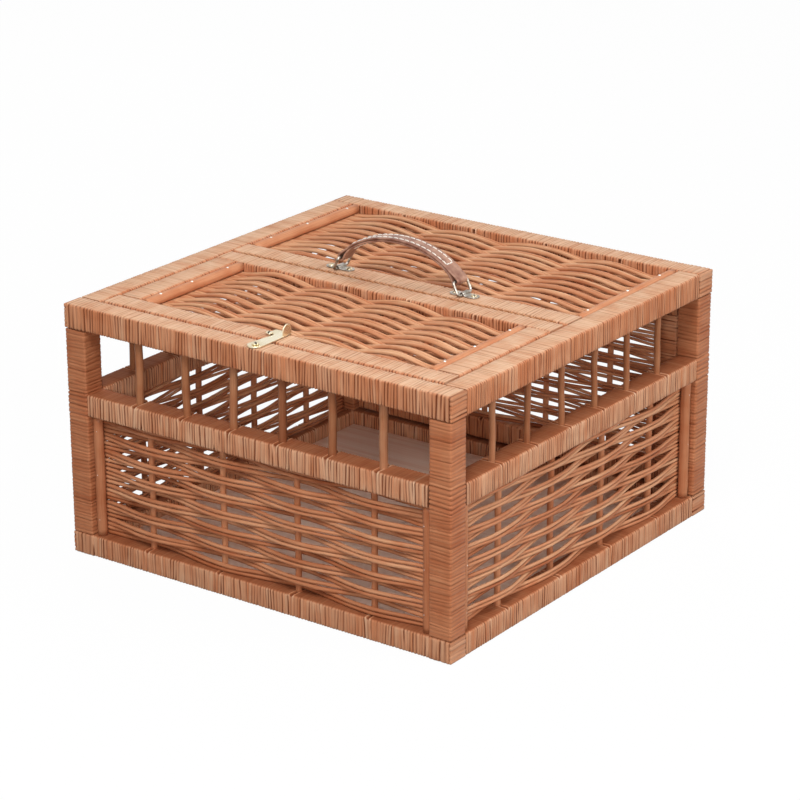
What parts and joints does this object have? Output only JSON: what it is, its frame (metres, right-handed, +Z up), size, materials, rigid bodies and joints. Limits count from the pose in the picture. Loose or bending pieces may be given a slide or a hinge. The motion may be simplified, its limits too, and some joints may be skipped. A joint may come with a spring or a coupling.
{
  "type": "pigeon basket",
  "caption": "Square willow carrying basket with cane-wrapped frame, woven walls, barred windows, hinged lid, drop door at the back, turning hooks and a leather handle.",
  "frame": {"origin": "middle of the underside, on the floor board's lower face", "axes": "+X to the right along the front, +Y from the front to the back door, +Z up"},
  "size_m": [0.5, 0.5133, 0.3348],
  "materials": {
    "cane_wrap": "cane wrapped over wood, satin",
    "willow_rod": "peeled buff willow, satin",
    "willow_weave": "woven buff willow rods, satin",
    "plywood": "bare plywood",
    "leather": "brown, stitched in white",
    "nickel": "nickel plated",
    "brass": "pale brass plated"
  },
  "bodies": {
    "basket": {"post_front_left": "cane_wrap", "post_front_right": "cane_wrap", "post_back_left": "cane_wrap", "post_back_right": "cane_wrap", "bottom_rail_front": "cane_wrap", "bottom_rail_back": "cane_wrap", "bottom_rail_left": "cane_wrap", "bottom_rail_right": "cane_wrap", "mid_rail_front": "cane_wrap", "mid_rail_left": "cane_wrap", "mid_rail_right": "cane_wrap", "top_rail_front": "cane_wrap", "top_rail_back": "cane_wrap", "top_rail_left": "cane_wrap", "top_rail_right": "cane_wrap", "crossbar": "cane_wrap", "spindle_front_1": "willow_rod", "spindle_front_2": "willow_rod", "spindle_front_3": "willow_rod", "spindle_front_4": "willow_rod", "spindle_front_5": "willow_rod", "spindle_front_6": "willow_rod", "spindle_left_1": "willow_rod", "spindle_left_2": "willow_rod", "spindle_left_3": "willow_rod", "spindle_left_4": "willow_rod", "spindle_left_5": "willow_rod", "spindle_left_6": "willow_rod", "spindle_right_1": "willow_rod", "spindle_right_2": "willow_rod", "spindle_right_3": "willow_rod", "spindle_right_4": "willow_rod", "spindle_right_5": "willow_rod", "spindle_right_6": "willow_rod", "woven_wall_front": "willow_weave", "woven_wall_left": "willow_weave", "woven_wall_right": "willow_weave", "woven_top_rear": "willow_weave", "floor_board": "plywood", "lid_hinge_lacing": "cane_wrap", "lid_rest_rod": "willow_rod", "door_hinge_lacing": "cane_wrap", "lid_hook_screw": "brass", "door_hook_screw": "brass", "handle_plate_left": "nickel", "handle_plate_right": "nickel"},
    "lid": {"lid_rail_front": "cane_wrap", "lid_rail_back": "cane_wrap", "lid_rail_left": "cane_wrap", "lid_rail_right": "cane_wrap", "woven_lid": "willow_weave", "lid_hook_stud": "brass"},
    "back_door": {"door_frame": "cane_wrap", "woven_door": "willow_weave", "door_hook_stud": "brass"},
    "lid_hook": {"lid_hook": "brass"},
    "door_hook": {"door_hook": "brass"},
    "ring_left": {"handle_ring_left": "nickel"},
    "ring_right": {"handle_ring_right": "nickel"},
    "strap": {"handle_strap": "leather"}
  },
  "joints": [
    {"name": "lid_hinge", "type": "hinge", "parent": "basket", "child": "lid", "pos_m": [0, -0.0015, 0.2834], "axis": [-1, 0, 0], "range_deg": [0, 91]},
    {"name": "lid_hook_swivel", "type": "hinge", "parent": "basket", "child": "lid_hook", "pos_m": [0.0025, -0.241, 0.285], "axis": [0, 0, -1], "range_deg": [0, 90]},
    {"name": "door_hinge", "type": "hinge", "parent": "basket", "child": "back_door", "pos_m": [0, 0.2484, 0.0265], "axis": [-1, 0, 0], "range_deg": [0, 90]},
    {"name": "door_hook_swivel", "type": "hinge", "parent": "basket", "child": "door_hook", "pos_m": [0.0025, 0.25, 0.275], "axis": [0, -1, 0], "range_deg": [0, 90]},
    {"name": "ring_left_swing", "type": "hinge", "parent": "basket", "child": "ring_left", "pos_m": [-0.0825, 0.015, 0.2868], "axis": [0, 1, 0], "range_deg": [-12, 12]},
    {"name": "strap_pivot", "type": "hinge", "parent": "ring_left", "child": "strap", "pos_m": [-0.07574, 0.015, 0.3013], "axis": [0, 1, 0], "range_deg": [-13.5, 13.5]},
    {"name": "ring_right_swing", "type": "hinge", "parent": "basket", "child": "ring_right", "pos_m": [0.0825, 0.015, 0.2868], "axis": [0, 1, 0], "range_deg": [-12.5, 12.5]}
  ],
  "couplings": [
    {"joint": "strap_pivot", "follows": "ring_left_swing", "ratio": -1.0886},
    {"joint": "ring_right_swing", "follows": "ring_left_swing", "ratio": 1}
  ]
}
